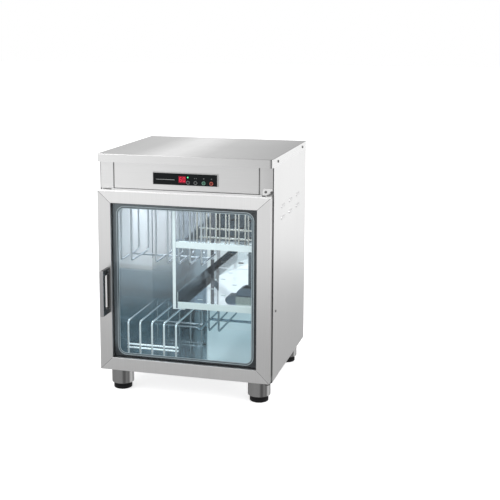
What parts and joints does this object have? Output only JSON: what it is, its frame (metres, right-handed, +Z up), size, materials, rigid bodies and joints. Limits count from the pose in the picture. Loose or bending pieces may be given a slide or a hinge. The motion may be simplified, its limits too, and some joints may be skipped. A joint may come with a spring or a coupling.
{
  "type": "knife and cutting board sterilizer",
  "caption": "Free-standing stainless steel cabinet on adjustable feet that dries and disinfects knives and cutting boards, with a glazed hinged door, wire racks, a shelf and a button panel",
  "frame": {"origin": "middle of the bounding box in X and Y, at the floor under the feet", "axes": "+X to the right seen from the front, +Y from the door to the back, +Z up"},
  "size_m": [0.505, 0.525, 0.69],
  "materials": {
    "stainless": "brushed",
    "stainless_worktop": "brushed",
    "stainless_chamber": "polished",
    "rack_steel": "polished",
    "leg_steel": "polished",
    "zinc_steel": "satin",
    "screw_steel": "satin",
    "black_panel": "gloss",
    "display_lens": "gloss",
    "circuit_board": "satin",
    "button_white": "gloss",
    "button_green": "gloss",
    "button_red": "gloss",
    "black_plastic": "satin",
    "grey_trim": "satin",
    "motor_metal": "satin",
    "ballast_metal": "satin",
    "heater_steel": "matt",
    "black_rubber": "matt",
    "door_glass": "clear",
    "lamp_glass": "clear",
    "lamp_ceramic": "gloss",
    "nylon": "satin",
    "magnet": "matt"
  },
  "bodies": {
    "cabinet": {"worktop": "stainless_worktop", "right_side_panel": "stainless", "left_side_panel": "stainless", "rear_panel": "stainless", "power_gland": "black_plastic", "base_pan": "zinc_steel", "right_front_post": "stainless", "left_front_post": "stainless", "header_rail": "stainless", "lower_front_rail": "stainless", "fascia_panel": "stainless", "chamber_floor": "stainless_chamber", "chamber_ceiling": "stainless_chamber", "chamber_left_wall": "stainless_chamber", "chamber_right_wall": "stainless_chamber", "chamber_back_wall": "stainless_chamber", "control_bezel": "black_panel", "display_window": "display_lens", "control_board": "circuit_board", "lamp_ballast": "ballast_metal", "reed_switch": "black_plastic", "fan_housing": "zinc_steel", "heater_element": "heater_steel", "fan_motor": "motor_metal", "temperature_probe": "rack_steel", "uv_lamp": "lamp_glass", "lamp_sockets": "lamp_ceramic", "hanging_rack": "rack_steel", "knife_rack": "rack_steel", "shelf_frame": "stainless_chamber", "lower_shelf": "stainless_chamber", "utensil_hooks": "rack_steel", "air_outlet_cowl": "stainless_chamber", "top_hinge_bracket": "zinc_steel", "bottom_hinge_bracket": "zinc_steel", "hinge_pins": "screw_steel", "leg_sleeves": "leg_steel", "case_screws": "screw_steel"},
    "door": {"door_top_rail": "stainless", "door_bottom_rail": "stainless", "door_handle_stile": "stainless", "door_hinge_stile": "stainless", "glazing_strips": "zinc_steel", "door_glass": "door_glass", "glass_gasket": "black_rubber", "door_seal": "black_rubber", "handle_body": "black_plastic", "handle_trim": "grey_trim", "hinge_bushes": "nylon", "door_magnet": "magnet"},
    "menu_key": {"menu_button": "button_white"},
    "time_key": {"time_button": "button_white"},
    "start_key": {"start_button": "button_green"},
    "stop_key": {"stop_button": "button_red"},
    "fan": {"fan_impeller": "zinc_steel"},
    "board_holder": {"board_rack": "rack_steel"},
    "front_left_foot": {"foot_front_left": "black_plastic"},
    "front_right_foot": {"foot_front_right": "black_plastic"},
    "rear_left_foot": {"foot_rear_left": "black_plastic"},
    "rear_right_foot": {"foot_rear_right": "black_plastic"}
  },
  "joints": [
    {"name": "door_hinge", "type": "hinge", "parent": "cabinet", "child": "door", "pos_m": [0.238, -0.1975, 0.329], "axis": [0, 0, 1], "range_deg": [0, 110]},
    {"name": "menu_press", "type": "slide", "parent": "cabinet", "child": "menu_key", "axis": [0, 1, 0], "range_m": [0, 0.001], "stiffness_N_per_m": 300},
    {"name": "time_press", "type": "slide", "parent": "cabinet", "child": "time_key", "axis": [0, 1, 0], "range_m": [0, 0.001], "stiffness_N_per_m": 300},
    {"name": "start_press", "type": "slide", "parent": "cabinet", "child": "start_key", "axis": [0, 1, 0], "range_m": [0, 0.001], "stiffness_N_per_m": 300},
    {"name": "stop_press", "type": "slide", "parent": "cabinet", "child": "stop_key", "axis": [0, 1, 0], "range_m": [0, 0.001], "stiffness_N_per_m": 300},
    {"name": "fan_spin", "type": "hinge", "parent": "cabinet", "child": "fan", "pos_m": [0.09, 0.1975, 0.33], "axis": [0, 1, 0], "continuous": true},
    {"name": "board_rack_lift", "type": "slide", "parent": "cabinet", "child": "board_holder", "axis": [0, 0, 1], "range_m": [0, 0.025]},
    {"name": "front_left_foot_turn", "type": "hinge", "parent": "cabinet", "child": "front_left_foot", "pos_m": [-0.204, -0.1495, 0.03], "axis": [0, 0, 1], "continuous": true},
    {"name": "front_right_foot_turn", "type": "hinge", "parent": "cabinet", "child": "front_right_foot", "pos_m": [0.204, -0.1495, 0.03], "axis": [0, 0, 1], "continuous": true},
    {"name": "rear_left_foot_turn", "type": "hinge", "parent": "cabinet", "child": "rear_left_foot", "pos_m": [-0.204, 0.2095, 0.03], "axis": [0, 0, 1], "continuous": true},
    {"name": "rear_right_foot_turn", "type": "hinge", "parent": "cabinet", "child": "rear_right_foot", "pos_m": [0.204, 0.2095, 0.03], "axis": [0, 0, 1], "continuous": true}
  ]
}
